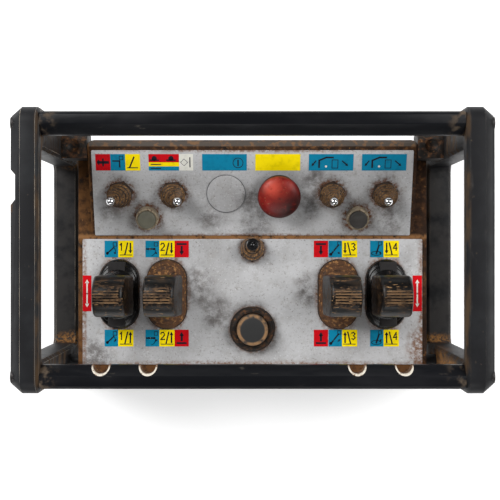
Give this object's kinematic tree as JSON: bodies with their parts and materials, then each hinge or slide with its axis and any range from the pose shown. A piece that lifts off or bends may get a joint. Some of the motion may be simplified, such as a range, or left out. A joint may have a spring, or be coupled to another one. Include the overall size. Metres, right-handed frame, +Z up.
{
  "type": "radio control station",
  "caption": "Framed control station with four rocking paddle levers, toggle switches, push-buttons and a red stop button on a stepped grey panel.",
  "frame": {"origin": "on the surface it stands on, under the middle of the frame", "axes": "+X to the operator's right along the longest side, -Y towards the operator, +Z up out of the control panel"},
  "size_m": [0.313, 0.1864, 0.17],
  "materials": {
    "frame_coat": "black coated bar, edges worn pale, dusty",
    "dark_steel": "blackened steel screws",
    "pale_plastic": "pale bush, scuffed",
    "black_rubber": "soft black rubber",
    "dusty_black": "black plastic caked with brown dust",
    "housing_plastic": "moulded black plastic, dusty",
    "panel_grey": "light grey speckled front foil on aluminium",
    "disc_grey": "light grey",
    "switch_plastic": "moulded black plastic",
    "dusty_steel": "hex nut, brown with dust",
    "chrome": "polished",
    "boot_rubber": "ribbed boot, brown with dust",
    "stop_red": "red moulded plastic, scuffed",
    "spring_steel": "bright steel",
    "cream_plastic": "contact block",
    "gloss_black": "glossy black tip",
    "button_olive": "grey-green cap",
    "button_dark": "dark grey cap",
    "bezel_metal": "dull metal ring with dust",
    "paddle_black": "black moulded grip, worn crest",
    "gaiter_gloss": "glossy black rubber",
    "gaiter_dusty": "rubber caked with brown dust",
    "board_green": "green solder mask",
    "can_metal": "screening can",
    "battery_blue": "sleeved cell pack"
  },
  "bodies": {
    "root": {"end_frame_left": "frame_coat", "end_frame_right": "frame_coat", "back_rail": "frame_coat", "front_rail": "frame_coat", "rail_screws": "dark_steel", "strap_bushes": "pale_plastic", "frame_bolts": "dark_steel", "rubber_buffers": "black_rubber", "rear_lugs": "dusty_black", "lower_housing": "housing_plastic", "housing_gasket": "black_rubber", "top_cover": "housing_plastic", "cover_screws": "dark_steel", "lever_plate": "panel_grey", "switch_plate": "panel_grey", "blanking_disc": "disc_grey", "toggle_bodies": "switch_plastic", "boot_nuts": "dusty_steel", "toggle_boots": "boot_rubber", "stop_collar": "switch_plastic", "stop_spring": "spring_steel", "stop_contacts": "cream_plastic", "enable_bezel": "black_rubber", "enable_spring": "spring_steel", "enable_switch": "switch_plastic", "centre_switch": "switch_plastic", "centre_boot": "boot_rubber", "button_bezels": "bezel_metal", "button_switches": "switch_plastic", "lever_axles": "spring_steel", "lever_brackets": "switch_plastic", "lever_springs": "spring_steel", "gaiter_rings": "black_rubber", "gaiter_1": "gaiter_gloss", "gaiter_2": "gaiter_dusty", "gaiter_3": "gaiter_dusty", "gaiter_4": "gaiter_gloss", "main_board": "board_green", "radio_module": "can_metal", "battery_pack": "battery_blue", "battery_cover": "housing_plastic", "small_screws": "dark_steel"},
    "toggle_1": {"toggle_lever_1": "chrome"},
    "toggle_2": {"toggle_lever_2": "chrome"},
    "toggle_3": {"toggle_lever_3": "chrome"},
    "toggle_4": {"toggle_lever_4": "chrome"},
    "stop_plunger": {"stop_plunger": "switch_plastic"},
    "stop_head": {"stop_head": "stop_red"},
    "enable_cap": {"enable_cap": "black_rubber"},
    "centre_lever": {"centre_lever": "gloss_black"},
    "start_button": {"start_button": "button_olive"},
    "battery_button": {"battery_button": "button_dark"},
    "lever_1": {"lever_1": "paddle_black", "lever_stem_1": "spring_steel"},
    "lever_2": {"lever_2": "paddle_black", "lever_stem_2": "spring_steel"},
    "lever_3": {"lever_3": "paddle_black", "lever_stem_3": "spring_steel"},
    "lever_4": {"lever_4": "paddle_black", "lever_stem_4": "spring_steel"}
  },
  "joints": [
    {"name": "toggle_1_throw", "type": "hinge", "parent": "root", "child": "toggle_1", "pos_m": [-0.096, 0.04086, 0.08258], "axis": [0, 0.9478, 0.319], "range_deg": [0, 24], "deforming": ["toggle_boots"]},
    {"name": "toggle_2_throw", "type": "hinge", "parent": "root", "child": "toggle_2", "pos_m": [-0.0576, 0.04086, 0.08258], "axis": [0, 0.9478, 0.319], "range_deg": [-24, 0], "deforming": ["toggle_boots"]},
    {"name": "toggle_3_throw", "type": "hinge", "parent": "root", "child": "toggle_3", "pos_m": [0.0576, 0.04086, 0.08258], "axis": [0, 0.9478, 0.319], "range_deg": [-12, 12], "stiffness_Nm_per_rad": 0.02, "deforming": ["toggle_boots"]},
    {"name": "toggle_4_throw", "type": "hinge", "parent": "root", "child": "toggle_4", "pos_m": [0.096, 0.04086, 0.08258], "axis": [0, 0.9478, 0.319], "range_deg": [-12, 12], "stiffness_Nm_per_rad": 0.02, "deforming": ["toggle_boots"]},
    {"name": "stop_push", "type": "slide", "parent": "root", "child": "stop_plunger", "axis": [0, 0.319, -0.9478], "range_m": [0, 0.004], "deforming": ["stop_spring"]},
    {"name": "stop_twist", "type": "hinge", "parent": "stop_plunger", "child": "stop_head", "pos_m": [0.0192, 0.04054, 0.08353], "axis": [0, 0.319, -0.9478], "range_deg": [0, 30], "stiffness_Nm_per_rad": 0.05},
    {"name": "enable_push", "type": "slide", "parent": "root", "child": "enable_cap", "axis": [0, 0, -1], "range_m": [0, 0.003], "stiffness_N_per_m": 800, "deforming": ["enable_spring"]},
    {"name": "centre_throw", "type": "hinge", "parent": "root", "child": "centre_lever", "pos_m": [0, 0.0009, 0.072], "axis": [1, 0, 0], "range_deg": [0, 24], "deforming": ["centre_boot"]},
    {"name": "start_push", "type": "slide", "parent": "root", "child": "start_button", "axis": [0, 0.319, -0.9478], "range_m": [0, 0.0015], "stiffness_N_per_m": 600},
    {"name": "battery_push", "type": "slide", "parent": "root", "child": "battery_button", "axis": [0, 0.319, -0.9478], "range_m": [0, 0.0015], "stiffness_N_per_m": 600},
    {"name": "lever_1_rock", "type": "hinge", "parent": "root", "child": "lever_1", "pos_m": [-0.098, -0.0323, 0.064], "axis": [-1, 0, 0], "range_deg": [-22, 22], "stiffness_Nm_per_rad": 0.4, "deforming": ["gaiter_1"]},
    {"name": "lever_2_rock", "type": "hinge", "parent": "root", "child": "lever_2", "pos_m": [-0.0629, -0.0323, 0.064], "axis": [-1, 0, 0], "range_deg": [-22, 22], "stiffness_Nm_per_rad": 0.4, "deforming": ["gaiter_2"]},
    {"name": "lever_3_rock", "type": "hinge", "parent": "root", "child": "lever_3", "pos_m": [0.0629, -0.0323, 0.064], "axis": [-1, 0, 0], "range_deg": [-22, 22], "stiffness_Nm_per_rad": 0.4, "deforming": ["gaiter_3"]},
    {"name": "lever_4_rock", "type": "hinge", "parent": "root", "child": "lever_4", "pos_m": [0.098, -0.0323, 0.064], "axis": [-1, 0, 0], "range_deg": [-22, 22], "stiffness_Nm_per_rad": 0.4, "deforming": ["gaiter_4"]}
  ]
}
